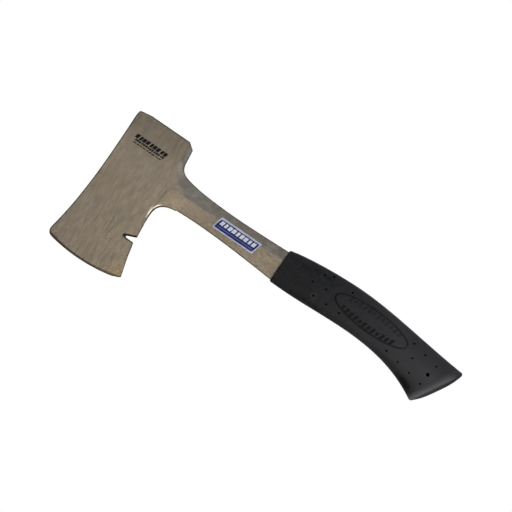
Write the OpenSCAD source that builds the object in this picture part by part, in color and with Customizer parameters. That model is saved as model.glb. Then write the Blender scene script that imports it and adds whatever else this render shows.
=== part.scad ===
// Solid steel hatchet. Head, neck, shank and tang are one forging; a rubber grip is moulded
// over the tang, a printed label sits on the shank and an ink mark on the cheek.
// Frame: origin at the centre of the flat poll face, +X out of the poll, +Z up the handle
// towards the top of the head, Y across the thickness. The cutting edge faces -X.

/* [Head] */
// Distance from the flat poll face to the middle of the cutting edge
head_len = 133.6; // [128:0.2:140]
// Height of the flat poll face
poll_h = 38.4; // [36:0.2:40]
// Thickness of the head at the poll
poll_t = 16; // [14:0.5:19]
// Thickness of the blade where the edge bevel starts
blade_t = 1.8; // [1.4:0.1:3]
// Radius of the curved cutting edge
edge_r = 146; // [136:1:170]
// Width of the ground bevel behind the cutting edge
bevel_w = 1.8; // [1.2:0.1:5]
// Thickness left at the cutting edge
edge_land = 0.3; // [0.2:0.05:0.5]
// Chamfer round the poll face
poll_chamfer = 1.2; // [0.6:0.1:2]
// Depth of the nail slot in the underside of the blade
slot_depth = 8.6; // [7:0.2:12]
// Width of the nail slot at its mouth
slot_w = 5; // [4.4:0.2:6]
// Width of the bevel round the nail slot
slot_bevel = 1.2; // [0.6:0.1:1.6]

/* [Shank] */
// Thickness of the shank along its crest
shank_t = 10.4; // [9:0.2:12]
// Thickness of the shank at its front edge
shank_edge_t = 6.6; // [5:0.2:8]

/* [Tang] */
// Thickness of the tang inside the grip
tang_t = 7; // [5:0.5:9]
// Share of the grip's width that the tang fills
tang_share = 0.42; // [0.34:0.01:0.46]

/* [Grip] */
// Thickness of the grip at its front end
grip_front_t = 21; // [19:0.5:24]
// Thickness of the grip in the palm
grip_palm_t = 25; // [23:0.5:28]
// Thickness of the grip at the butt
grip_butt_t = 26; // [24:0.5:29]
// Squareness of the grip's section, where 2 is an ellipse
grip_power = 3.2; // [2.2:0.1:3.6]
// Radius of the pin hole near the butt
pin_hole_r = 1.6; // [1.2:0.1:2]
// Radius of the small vent pits
pit_r = 0.9; // [0.5:0.05:1.1]
// Depth of the small vent pits
pit_depth = 2; // [1:0.25:3]

/* [Label and mark] */
// Length of the label along the shank
label_len = 40.6; // [36:0.2:42]
// Width of the label across the shank
label_w = 11.4; // [9:0.2:12]
// Thickness of the label film
film_t = 0.14; // [0.1:0.02:0.2]
// Thickness of one printed ink layer
ink_t = 0.06; // [0.04:0.01:0.1]

/* [Hidden] */
$fn = 64;

STEEL = [0.53, 0.49, 0.43];
RUBBER = [0.13, 0.13, 0.14];
SILVER = [0.78, 0.78, 0.82];
BLUE = [0.10, 0.16, 0.42];
WHITE = [0.92, 0.93, 0.96];
INK = [0.06, 0.06, 0.06];

// ---- Curves, all in the side view, as [x, z] ----
function mix(a, b, t) = a * (1 - t) + b * t;
function smooth(t) = let (c = min(1, max(0, t))) c * c * (3 - 2 * c);
// Point at t on the cubic curve with the four control points in p
function cubic(p, t) = let (u = 1 - t)
    u * u * u * p[0] + 3 * u * u * t * p[1] + 3 * u * t * t * p[2] + t * t * t * p[3];
// n points along a cubic curve, without its last one
function run(p, n) = [for (i = [0 : n - 1]) cubic(p, i / n)];
// Point at t on two cubic curves joined end to end
function chain(pair, t) = t < 0.5 ? cubic(pair[0], 2 * t) : cubic(pair[1], 2 * t - 1);
function arc(centre, r, a0, a1, n) =
    [for (i = [0 : n]) let (a = mix(a0, a1, i / n)) centre + r * [cos(a), sin(a)]];

// ---- Head outline ----
edge_centre = [edge_r - head_len, 4.5];
toe_z = 31.5;
heel_z = -28.5;
toe_angle = 180 - asin((toe_z - edge_centre[1]) / edge_r);
heel_angle = 180 + asin((edge_centre[1] - heel_z) / edge_r);
toe_tip = edge_centre + edge_r * [cos(toe_angle), sin(toe_angle)];
slot_x = -95.5;          // tip of the nail slot
slot_mouth_z = -28;      // height of the slot's mouth
slot_tip_z = slot_mouth_z + slot_depth;
slot_front_x = slot_x - slot_w * 0.2;
slot_back_x = slot_x + slot_w * 0.8;

head_outline = concat(
    [[0, -poll_h / 2], [0, poll_h / 2], [-0.5, poll_h / 2 + 3.4], [-1.7, 29.3], [-2.1, 29.9], [-3.4, 30.4]],
    run([[-7.3, 30.8], [-52, 29.9], [-88, 29.9], [-123.2, 36.6]], 9),
    run([[-123.2, 36.6], [-126.8, 37.3], [-130.4, 36.2], toe_tip], 6),
    arc(edge_centre, edge_r, toe_angle, heel_angle, 22),
    [[-128.7, -30.9], [-127.6, -33.8]],
    run([[-126.2, -35.4], [-116, -32.6], [-107, -29.6], [slot_front_x - 0.3, slot_mouth_z - 0.2]], 6),
    [[slot_front_x, slot_mouth_z + 0.4], [slot_x - 0.9, slot_tip_z - 1.4]],
    [[slot_x - 0.5, slot_tip_z - 0.3], [slot_x, slot_tip_z], [slot_x + 0.6, slot_tip_z - 0.5]],
    [[slot_back_x - 0.4, slot_mouth_z + 1], [slot_back_x, slot_mouth_z + 0.4]],
    run([[slot_back_x + 0.4, slot_mouth_z + 0.3], [-83, -27.2], [-76, -25.9], [-69.5, -26.1]], 5),
    run([[-69.5, -26.1], [-58.6, -25.9], [-55.2, -32.2], [-54, -47]], 9),
    run([[-28.6, -47], [-26.8, -35], [-26, -28.2], [-17.5, -26.8]], 8),
    [[-17.5, -26.8], [-10, -25.9], [-4.6, -25.2]]);

// Half thickness of the cheeks at x, on the straight taper from poll to edge bevel
taper = (poll_t - blade_t) / 2 / (head_len - bevel_w);
function cheek(x) = poll_t / 2 + taper * x;

// ---- Shank and tang outlines ----
grip_z = -139.9;         // the grip's front end
shank_end_z = grip_z - 6;
shank_outline = concat(
    [[-49, -22], [-54, -44]],
    run([[-53.8, -47], [-52.6, -72], [-54, -100], [-57.4, shank_end_z]], 12),
    [[-57.4, shank_end_z]],
    run([[-28.8, shank_end_z], [-30.6, -102], [-31.6, -76], [-28.7, -47]], 12),
    [[-28.4, -44], [-33, -22]]);

// Section of the shank, looking along the handle: a low roof with a rounded crest
crest_x = -40.5;
roof_front_x = -57.4;
roof_slope = (shank_t - shank_edge_t) / 2 / (crest_x - roof_front_x);
back_steepness = 1.45;   // how much steeper the back of the roof is than its front
crest_half_w = 2.2;
function shank_half(x) = let (
        d = abs(x - crest_x),
        slope = x < crest_x ? roof_slope : roof_slope * back_steepness)
    shank_t / 2 - slope * (d < crest_half_w ? d * d / crest_half_w / 2 : d - crest_half_w / 2);
roof_xs = concat([-66, roof_front_x], [for (i = [-2 : 2]) crest_x + crest_half_w * i / 2], [-27, -20]);

// ---- Grip outline ----
end_round = 1.6;         // rounding of the grip's front end
grip_start_z = grip_z - end_round;
front_side = [
    [[-58.4, grip_start_z], [-59.3, -168], [-56.4, -192], [-56.4, -216]],
    [[-56.4, -216], [-56.4, -250], [-62.6, -272.3], [-73.8, -292.3]]];
back_side = [
    [[-27, grip_start_z], [-24.2, -152], [-20.6, -180], [-20.4, -208]],
    [[-20.4, -208], [-20.4, -242], [-26.9, -273], [-30.6, -317.3]]];
grip_waist_t = grip_palm_t - 1.2;
butt_round = 2.4;        // rounding round the butt
butt_crown = 2.4;        // how far the butt bulges in its middle
grip_rows = 20;
points_round = 28;
pin_hole_pos = [-48, -294];
pin_hole_floor = 0.5;    // rubber left between the pin hole and the tang

function grip_front(t) = chain(front_side, t);
function grip_back(t) = chain(back_side, t);
// Half thickness of the grip from its front end, t = 0, to its butt, t = 1
function grip_half(t) = 0.5 * (grip_front_t
    + (grip_palm_t - grip_front_t) * smooth(t / 0.4)
    - (grip_palm_t - grip_waist_t) * smooth((t - 0.4) / 0.3)
    + (grip_butt_t - grip_waist_t) * smooth((t - 0.7) / 0.3));
// A point at height t, s of the way from the grip's front side to its back side
function grip_point(t, s) = mix(grip_front(t), grip_back(t), s);
// Height of the grip's broad face there
function grip_face(t, s) =
    grip_half(t) * pow(1 - pow(abs(2 * s - 1), grip_power), 1 / grip_power);

tang_steps = 10;
tang_end_t = 0.93;
tang_outline = concat(
    [[-50, grip_z + 4]],
    [for (i = [1 : tang_steps]) grip_point(tang_end_t * i / tang_steps, 0.5 - tang_share / 2)],
    [grip_point(tang_end_t + 0.02, 0.5)],
    [for (i = [tang_steps : -1 : 1]) grip_point(tang_end_t * i / tang_steps, 0.5 + tang_share / 2)],
    [[-36, grip_z + 4]]);

// ---- Building blocks ----
// A side-view outline swept across the thickness
module across(thickness) {
    rotate([90, 0, 0])
        linear_extrude(height = thickness, center = true)
            children();
}

// Plan view of the head: a straight taper from the chamfered poll towards the edge
module head_taper() {
    tip = -head_len - 1;
    half_plan = [[tip, cheek(tip)], [-poll_chamfer, cheek(-poll_chamfer)], [0, poll_t / 2 - poll_chamfer]];
    translate([0, 0, -60])
        linear_extrude(height = 110)
            polygon(concat(half_plan, [for (i = [2 : -1 : 0]) [half_plan[i][0], -half_plan[i][1]]]));
}

// End view of the head: its underside is bevelled down to the neck
module underside_bevel() {
    half_end = [
        [poll_t, 50], [poll_t, -10], [poll_t * 0.49, -19.5], [shank_t / 2, -26.5], [shank_t * 0.3, -47.5]];
    translate([-150, 0, 0])
        rotate([90, 0, 90])
            linear_extrude(height = 160)
                polygon(concat(half_end, [for (i = [4 : -1 : 0]) [-half_end[i][0], half_end[i][1]]]));
}

// A disc whose double-bevelled rim is the cutting edge
module edge_disc() {
    reach = poll_t;
    rise = (blade_t - edge_land) / 2 / bevel_w;
    inner_r = edge_r - (reach - edge_land / 2) / rise;
    translate([edge_centre[0], 0, edge_centre[1]])
        rotate([90, 0, 0])
            rotate_extrude()
                polygon([[0, -reach], [inner_r, -reach], [edge_r, -edge_land / 2],
                    [edge_r, edge_land / 2], [inner_r, reach], [0, reach]]);
}

// A groove with sloping sides along the line from a to b in the side view, w deep and w to each side
module vee_groove(a, b, w) {
    run_angle = atan2(b[1] - a[1], b[0] - a[0]);
    for (side = [-1, 1])
        translate([a[0], side * cheek(a[0]), a[1]])
            rotate([0, -run_angle, 0])
                rotate([90, 0, 90])
                    linear_extrude(height = norm(b - a))
                        polygon([[-side * w, 0], [side * w, -2 * w], [side * w, 2 * w]]);
}

// The nail slot's edges are bevelled on both cheeks, so that they slip under a nail's head
module slot_bevels() {
    vee_groove([slot_x, slot_tip_z + slot_bevel], [slot_front_x, slot_mouth_z - 2], slot_bevel);
    vee_groove([slot_x, slot_tip_z + slot_bevel], [slot_back_x, slot_mouth_z - 2], slot_bevel);
}

module shank_prism() {
    intersection() {
        across(2 * shank_t)
            polygon(shank_outline);
        translate([0, 0, shank_end_z - 1])
            linear_extrude(height = 130)
                polygon(concat([for (x = roof_xs) [x, shank_half(x)]],
                    [for (i = [len(roof_xs) - 1 : -1 : 0]) [roof_xs[i], -shank_half(roof_xs[i])]]));
    }
}

module tang() {
    across(tang_t)
        polygon(tang_outline);
}

module forged_body() {
    color(STEEL) {
        difference() {
            intersection() {
                across(2 * poll_t)
                    polygon(head_outline);
                head_taper();
                underside_bevel();
                edge_disc();
            }
            slot_bevels();
        }
        shank_prism();
        tang();
    }
}

// ---- Grip ----
// Ring round the grip at t, drawn in by inset, scaled by shrink and moved down by drop
function grip_ring(t, inset, shrink, drop) = let (
        f = grip_front(t),
        b = grip_back(t),
        along = (b - f) / norm(b - f),
        mid = (f + b) / 2 + drop * [along[1], -along[0]],
        half_w = (norm(b - f) / 2 - inset) * shrink,
        half_t = (grip_half(t) - inset) * shrink)
    [for (k = [0 : points_round - 1]) let (
            a = 360 * k / points_round,
            u = sign(cos(a)) * pow(abs(cos(a)), 2 / grip_power) * half_w,
            v = sign(sin(a)) * pow(abs(sin(a)), 2 / grip_power) * half_t)
        [mid[0] + along[0] * u, v, mid[1] + along[1] * u]];
grip_rings = concat(
    [for (a = [0, 30, 60]) grip_ring(0, end_round * (1 - sin(a)), 1, -end_round * cos(a))],
    [for (i = [0 : grip_rows]) grip_ring(i / grip_rows, 0, 1, 0)],
    [for (a = [25, 50, 74]) grip_ring(1, butt_round * (1 - cos(a)), 1, butt_round * sin(a))],
    [for (k = [0.93, 0.75, 0.4, 0.1])
        grip_ring(1, butt_round, k, butt_round + butt_crown * (1 - pow(k, 3)))]);

// Closed skin over rings of points
module skin(rings) {
    n = len(rings[0]);
    last = len(rings) - 1;
    polyhedron(
        points = [for (r = rings) each r],
        faces = concat(
            [[for (k = [0 : n - 1]) k]],
            [for (i = [0 : last - 1], k = [0 : n - 1])
                [i * n + k, (i + 1) * n + k, (i + 1) * n + (k + 1) % n]],
            [for (i = [0 : last - 1], k = [0 : n - 1])
                [i * n + k, (i + 1) * n + (k + 1) % n, i * n + (k + 1) % n]],
            [[for (k = [n - 1 : -1 : 0]) last * n + k]]));
}

// Columns of vent pits, as [x, z of the top pit, x step to the next, number of pits]
pit_pitch = 13;
pit_columns = [
    [-47.5, -177.4, 0, 3],
    [-38.3, -170.2, 1, 2],
    [-27.9, -175.6, 0, 1],
    [-24.9, -183.1, 0, 1],
    [-27.0, -203.3, 0, 1],
    [-51.0, -254.1, -2.3, 4],
    [-32.9, -270.1, -2.7, 3],
    [-43.8, -275.5, 0, 1],
    [-65.7, -286.4, 0, 1]];
// Where z sits on the grip, as t, found by halving the interval
function find_t(p, low = 0, high = 1, n = 14) = let (
        m = (low + high) / 2,
        f = grip_front(m),
        b = grip_back(m),
        below = (p[0] - f[0]) * (b[1] - f[1]) - (p[1] - f[1]) * (b[0] - f[0]))
    n == 0 ? m : below > 0 ? find_t(p, m, high, n - 1) : find_t(p, low, m, n - 1);

module vent_pits() {
    for (column = pit_columns, i = [0 : column[3] - 1], side = [-1, 1]) {
        p = [column[0] + column[2] * i, column[1] - pit_pitch * i];
        t = find_t(p);
        s = norm(p - grip_front(t)) / norm(grip_back(t) - grip_front(t));
        translate([p[0], side * grip_face(t, s), p[1]])
            rotate([90, 0, 0])
                cylinder(h = 2 * pit_depth, r = pit_r, center = true, $fn = 24);
    }
}

module cushion_grip() {
    color(RUBBER)
        difference() {
            skin(grip_rings);
            shank_prism();
            tang();
            vent_pits();
            for (side = [0, 180])
                translate([pin_hole_pos[0], 0, pin_hole_pos[1]])
                    rotate([90, 0, side])
                        translate([0, 0, tang_t / 2 + pin_hole_floor])
                            cylinder(h = grip_butt_t, r = pin_hole_r);
        }
}

// ---- Label ----
label_mid = [-42.3, -96];
label_slope = 0.27;      // fall of the label's slanted ends
border = 1.2;            // silver border round the blue panel

// A slanted block of the label, its middle moved by u across and v up the label
module label_block(u, v, w, l) {
    polygon([for (c = [[-1, -1], [1, -1], [1, 1], [-1, 1]]) let (x = u + c[0] * w / 2)
        label_mid + [x, v + c[1] * l / 2 - x * label_slope]]);
}

// A layer that follows the -Y face of the shank, between two heights above it
module on_shank(low, high) {
    xs = [for (x = roof_xs) if (x >= roof_front_x && x < -26) x];
    intersection() {
        across(2 * shank_t)
            children();
        translate([0, 0, label_mid[1] - label_len])
            linear_extrude(height = 2 * label_len)
                polygon(concat([for (x = xs) [x, -shank_half(x) - low]],
                    [for (i = [len(xs) - 1 : -1 : 0]) [xs[i], -shank_half(xs[i]) - high]]));
    }
}

module label_film() {
    color(SILVER)
        on_shank(0, film_t)
            label_block(0, 0, label_w, label_len);
}

module label_panel() {
    color(BLUE)
        on_shank(film_t, film_t + ink_t)
            label_block(-0.2, 0, label_w - 2.5 * border, label_len - 2 * border);
}

stripe_count = 9;
module label_stripes() {
    pitch = (label_len - 4 * border) / stripe_count;
    color(WHITE)
        on_shank(film_t + ink_t, film_t + 2 * ink_t) {
            for (i = [0 : stripe_count - 1])
                label_block(1.3, (i - (stripe_count - 1) / 2) * pitch, 3.8,
                    pitch * (i % 3 == 1 ? 0.6 : 0.8));
            label_block(-2.6, 0, 0.6, label_len - 4 * border);
        }
}

// ---- Ink mark on the cheek ----
// Rows of plain bars, as [x, width, top z, bottom z, number of bars]
mark_rows = [
    [-20.6, 3.6, 22, -9.4, 9],
    [-23.9, 1.9, 20.8, -8.6, 14],
    [-26.4, 0.9, 20.6, -7.6, 9]];
mark_slant = 0.35;       // fall of a bar's ends for each unit of its width

// A bar of the given size whose two ends slant
module slanted_bar(w, h) {
    rotate([90, 0, 0])
        linear_extrude(height = ink_t)
            polygon([[0, 0], [w, -w * mark_slant], [w, h - w * mark_slant], [0, h]]);
}

module cheek_mark() {
    color(INK)
        translate([0, -poll_t / 2, 0])
            rotate([0, 0, -atan(taper)])
                for (row = mark_rows) {
                    pitch = (row[2] - row[3]) / row[4];
                    for (i = [0 : row[4] - 1])
                        translate([row[0] - row[1] / 2, 0, row[3] + pitch * (i + 0.1)])
                            slanted_bar(row[1], pitch * (i % 3 == 1 ? 0.66 : 0.84));
                }
}

forged_body();
cushion_grip();
label_film();
label_panel();
label_stripes();
cheek_mark();
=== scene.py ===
"""Looks of a solid steel hatchet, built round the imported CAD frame.

Shapes are worked out in millimetres in the part's frame (x out of the poll, z up the handle, y across the
thickness) and written in metres. Every piece rides on the part's one body.
"""

import math

import bmesh
import bpy
import numpy as np
from mathutils import Matrix, Vector
from mathutils.geometry import delaunay_2d_cdt


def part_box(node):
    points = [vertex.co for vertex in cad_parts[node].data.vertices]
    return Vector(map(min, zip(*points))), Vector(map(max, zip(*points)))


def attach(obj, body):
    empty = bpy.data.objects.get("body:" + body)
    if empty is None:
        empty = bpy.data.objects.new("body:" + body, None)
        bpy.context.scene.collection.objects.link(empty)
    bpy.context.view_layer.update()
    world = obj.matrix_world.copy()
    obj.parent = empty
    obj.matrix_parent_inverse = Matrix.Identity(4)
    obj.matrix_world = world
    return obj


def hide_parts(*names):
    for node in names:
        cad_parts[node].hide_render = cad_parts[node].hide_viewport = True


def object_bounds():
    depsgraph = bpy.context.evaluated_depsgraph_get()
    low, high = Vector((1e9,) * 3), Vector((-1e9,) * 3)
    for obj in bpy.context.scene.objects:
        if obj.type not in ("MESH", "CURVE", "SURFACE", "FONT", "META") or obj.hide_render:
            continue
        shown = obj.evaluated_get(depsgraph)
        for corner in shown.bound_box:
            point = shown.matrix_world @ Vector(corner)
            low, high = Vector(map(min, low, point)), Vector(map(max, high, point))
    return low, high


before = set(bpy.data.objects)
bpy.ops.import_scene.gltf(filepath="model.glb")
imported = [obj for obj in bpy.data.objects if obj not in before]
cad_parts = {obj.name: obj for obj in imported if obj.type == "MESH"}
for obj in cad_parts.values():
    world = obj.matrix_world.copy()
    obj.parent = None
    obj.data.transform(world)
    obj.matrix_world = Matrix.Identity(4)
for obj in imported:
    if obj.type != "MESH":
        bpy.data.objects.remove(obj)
CAD_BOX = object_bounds()
MM = 0.001

# ---------------------------------------------------------------- the forging, in mm, as in the CAD
POLL_T = 16.0
POLL_CHAMFER = 1.2
BLADE_T = 1.8  # where the cheeks meet the edge bevel
BEVEL_W = 1.8
EDGE_LAND = 0.3
HEAD_LEN = -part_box("forged_body")[0].x / MM
EDGE_R = 146.0
EDGE_CENTRE = (EDGE_R - HEAD_LEN, 4.5)
TAPER = (POLL_T - BLADE_T) / 2 / (HEAD_LEN - BEVEL_W)

SHANK_T = 10.4
SHANK_EDGE_T = 6.6
TANG_T = 7.0
CREST_X = -40.5
ROOF_FRONT_X = -57.4
ROOF_SLOPE = (SHANK_T - SHANK_EDGE_T) / 2 / (CREST_X - ROOF_FRONT_X)
BACK_STEEPNESS = 1.45  # the roof's back slope over its front slope
GRIP_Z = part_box("cushion_grip")[1].z / MM
SHANK_END_Z = GRIP_Z - 6
SHANK_X_AT_GRIP = (-56.9, -29.2)

# Lines where the ground cheek ends: down to the poll's heel on the back, to the beard on the front
BACK_CREASE = (
    (4.0, -18.6), (-6.0, -18.9), (-14.5, -20.4), (-20.0, -20.8), (-24.0, -21.3), (-28.0, -22.5),
    (-32.0, -24.5), (-36.0, -27.2), (-38.6, -30.5), (-39.8, -36.0), (CREST_X, -46.0), (CREST_X, -150.0),
)
FRONT_CREASE = (
    (-66.0, -26.0), (-58.0, -24.6), (-50.0, -25.0), (-45.0, -25.8), (-41.5, -27.8), (-39.8, -31.0),
)
# The bevel round the nail slot, as the outline it has on the cheek
SLOT_BEVEL = (
    (-97.6, -32), (-97.6, -19.6), (-96.5, -16.6), (-95.5, -15.8), (-94.5, -16.6), (-90.0, -27.4),
    (-88.0, -32),
)
SLOT_BEVEL_FALL = 0.9  # half thickness lost for each mm inside that outline
NECK_FRONT_X = -72  # in front of this x the cheek is one plane
NECK_TOP_Z = -15  # and so it is above this z

# ---------------------------------------------------------------- the grip, in mm, as in the CAD
END_ROUND = 1.6
FRONT_SIDE = (
    ((-58.4, GRIP_Z - END_ROUND), (-59.3, -168), (-56.4, -192), (-56.4, -216)),
    ((-56.4, -216), (-56.4, -250), (-62.6, -272.3), (-73.8, -292.3)),
)
BACK_SIDE = (
    ((-27, GRIP_Z - END_ROUND), (-24.2, -152), (-20.6, -180), (-20.4, -208)),
    ((-20.4, -208), (-20.4, -242), (-26.9, -273), (-30.6, -317.3)),
)
GRIP_MOUTH_T = 21.0
GRIP_PALM_T = 25.0
GRIP_WAIST_T = 23.8
GRIP_BUTT_T = 26.0
GRIP_POWER = 3.2  # how square its section is: 2 is an ellipse
TANG_POWER = 8
TANG_SHARE = 0.42  # of the grip's width
BUTT_ROUND = 2.4
BUTT_CROWN = 2.4
PIN_HOLE_POS = (-48.0, -294.0)
PIN_HOLE_R = 1.6
PIN_HOLE_FLOOR = 0.5  # rubber left over the tang
PIT_R = 0.9
PIT_DEPTH = 2.0
PIT_PITCH = 13.0
PIT_COLUMNS = (  # x and z of the top pit, x step to the next, number of pits
    (-47.5, -177.4, 0, 3),
    (-38.3, -170.2, 1, 2),
    (-27.9, -175.6, 0, 1),
    (-24.9, -183.1, 0, 1),
    (-27.0, -203.3, 0, 1),
    (-51.0, -254.1, -2.3, 4),
    (-32.9, -270.1, -2.7, 3),
    (-43.8, -275.5, 0, 1),
    (-65.7, -286.4, 0, 1),
)

# ---------------------------------------------------------------- how fine the meshes are, in mm
OUTLINE_STEP = 0.8
EDGE_ROWS = (0.1, 0.25, 0.45, 0.7, 1.0, 1.35, 1.75, 2.3)  # depths of the rows of points inside the outline
STEEL_GRID = 1.5
CREASE_GAP = 0.35  # from each crease to the points on either side of it
LATTICE_ROW = 0.866  # height of a lattice's rows over its spacing
CHUNK = 2000  # points compared at a time, to save memory
GRIP_COLUMNS = 208


# ---------------------------------------------------------------- plane geometry
def smooth(t):
    """0 below 0 and 1 above 1, with an S curve between."""
    t = np.clip(t, 0, 1)
    return t * t * (3 - 2 * t)


def fade(value, start, end):
    """0 at start and 1 at end, with an S curve between. The start may be the higher of the two."""
    return smooth((value - start) / (end - start))


def ridge(value, middle, reach):
    """1 where value is middle, falling off to either side."""
    return np.exp(-(((value - middle) / reach) ** 2))


def spot(x, z, where):
    """1 at a spot of the side view, falling off round it: where holds its x and z and its reach in each."""
    mid_x, mid_z, reach_x, reach_z = where
    return np.exp(-(((x - mid_x) / reach_x) ** 2) - ((z - mid_z) / reach_z) ** 2)


def soft_min(a, b, k):
    """The lower of a and b, with the corner between them rounded over a width of k."""
    h = np.clip(k - np.abs(a - b), 0, None)
    return np.minimum(a, b) - h * h / (4 * k)


def cubic(p, t):
    """The point at t on a Bezier curve of four points."""
    p = np.asarray(p, float)
    t = np.asarray(t, float)[..., None]
    u = 1 - t
    return u**3 * p[0] + 3 * u * u * t * p[1] + 3 * u * t * t * p[2] + t**3 * p[3]


def chain(pair, t):
    """The point at t on two Bezier curves, one after the other."""
    t = np.asarray(t, float)
    return np.where((t < 0.5)[..., None], cubic(pair[0], 2 * t), cubic(pair[1], 2 * t - 1))


def superellipse(angles, power):
    """Points round a section that reaches 1 each way: an ellipse at power 2 and squarer above it."""
    c, s = np.cos(angles), np.sin(angles)
    e = 2 / power
    return np.sign(c) * np.abs(c) ** e, np.sign(s) * np.abs(s) ** e


def catmull(p0, p1, p2, p3, t):
    """A centripetal Catmull-Rom point between p1 and p2."""
    k = [0.0]
    for a, b in ((p0, p1), (p1, p2), (p2, p3)):
        k.append(k[-1] + max(np.linalg.norm(b - a), 1e-9) ** 0.5)
    s = k[1] + (k[2] - k[1]) * t

    def lerp(a, b, ka, kb):
        return a * (kb - s) / (kb - ka) + b * (s - ka) / (kb - ka)

    a1, a2, a3 = lerp(p0, p1, k[0], k[1]), lerp(p1, p2, k[1], k[2]), lerp(p2, p3, k[2], k[3])
    b1, b2 = lerp(a1, a2, k[0], k[2]), lerp(a2, a3, k[1], k[3])
    return lerp(b1, b2, k[1], k[2])


def refine(loop, step, corner=21.0, run=6.0):
    """The closed loop with points every step: curved between its corners, straight along its long runs.
    A corner bends by more than its angle in degrees, or joins a long run to a much shorter one."""
    n = len(loop)
    seg = [loop[(i + 1) % n] - loop[i] for i in range(n)]
    length = [np.linalg.norm(s) for s in seg]

    def is_sharp(i):
        a, b, la, lb = seg[i - 1], seg[i], length[i - 1], length[i]
        bend = math.degrees(math.acos(np.clip(a @ b / la / lb, -1, 1)))
        return bend > corner or (max(la, lb) > run and max(la, lb) > 2.2 * min(la, lb))

    sharp = [is_sharp(i) for i in range(n)]
    out = []
    for i in range(n):
        j = (i + 1) % n
        p1, p2 = loop[i], loop[j]
        p0 = 2 * p1 - p2 if sharp[i] else loop[i - 1]
        p3 = 2 * p2 - p1 if sharp[j] else loop[(j + 1) % n]
        m = max(1, math.ceil(length[i] / step))
        out += [catmull(p0, p1, p2, p3, k / m) for k in range(m)]
    return np.array(out)


def anticlockwise(loop):
    ahead = np.roll(loop, -1, 0)
    area = np.sum(loop[:, 0] * ahead[:, 1] - ahead[:, 0] * loop[:, 1])
    return loop if area > 0 else loop[::-1]


def without_straight_points(loop, tolerance=0.004):
    """The loop without the points that lie on the line between their neighbours."""
    keep = []
    for i, b in enumerate(loop):
        a = keep[-1] if keep else loop[i - 1]
        c = loop[(i + 1) % len(loop)]
        along = (c - a) / max(np.linalg.norm(c - a), 1e-9)
        if abs(along[0] * (b - a)[1] - along[1] * (b - a)[0]) > tolerance:
            keep.append(b)
    return np.array(keep)


def walk_loops(edges):
    """The loops that the edges form, each as its points' x and z in mm."""
    links, spots = {}, {}
    for e in edges:
        for v, other in (e.verts, reversed(e.verts)):
            spots[v.index] = (v.co.x / MM, v.co.z / MM)
            links.setdefault(v.index, []).append(other.index)
    loops, seen = [], set()
    for start in sorted(links):
        if start in seen:
            continue
        loop, last, at = [start], None, start
        seen.add(start)
        while True:
            ahead = [w for w in links[at] if w != last and w not in seen]
            if not ahead:
                break
            last, at = at, ahead[0]
            loop.append(at)
            seen.add(at)
        loops.append(np.array([spots[i] for i in loop]))
    return loops


def middle_section(node):
    """The outline, in mm, where the middle plane cuts a CAD node: the widest loop, anticlockwise in x and
    z, without points that lie on a straight line."""
    bm = bmesh.new()
    bm.from_mesh(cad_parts[node].data)
    bmesh.ops.remove_doubles(bm, verts=bm.verts, dist=1e-6)
    section = bmesh.ops.bisect_plane(
        bm, geom=bm.verts[:] + bm.edges[:] + bm.faces[:], dist=1e-8, plane_co=(0, 0, 0), plane_no=(0, 1, 0)
    )
    bm.verts.index_update()
    loops = walk_loops([g for g in section["geom_cut"] if isinstance(g, bmesh.types.BMEdge)])
    bm.free()
    widest = max(loops, key=lambda loop: np.ptp(loop[:, 0]) * np.ptp(loop[:, 1]))
    return anticlockwise(without_straight_points(widest))


def edge_distance(points, loop):
    """How far each point is from the loop, and whether it is inside."""
    a, b = loop, np.roll(loop, -1, 0)
    ab = b - a
    ll = np.maximum((ab**2).sum(1), 1e-12)
    dist, inside = np.empty(len(points)), np.empty(len(points), bool)
    for i in range(0, len(points), CHUNK):
        p = points[i : i + CHUNK, None, :]
        t = np.clip(((p - a) * ab).sum(2) / ll, 0, 1)
        dist[i : i + CHUNK] = np.sqrt((((p - a) - t[..., None] * ab) ** 2).sum(2).min(1))
        spans = (a[:, 1] > p[..., 1]) != (b[:, 1] > p[..., 1])
        with np.errstate(divide="ignore", invalid="ignore"):
            x = a[:, 0] + (p[..., 1] - a[:, 1]) / (b[:, 1] - a[:, 1]) * ab[:, 0]
        inside[i : i + CHUNK] = (spans & (p[..., 0] < x)).sum(1) % 2 == 1
    return dist, inside


def nearest(points, others):
    """How far each point is from the nearest of the others."""
    parts = [points[i : i + CHUNK, None, :] - others for i in range(0, len(points), CHUNK)]
    return np.concatenate([np.sqrt((gap**2).sum(2)).min(1) for gap in parts])


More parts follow.
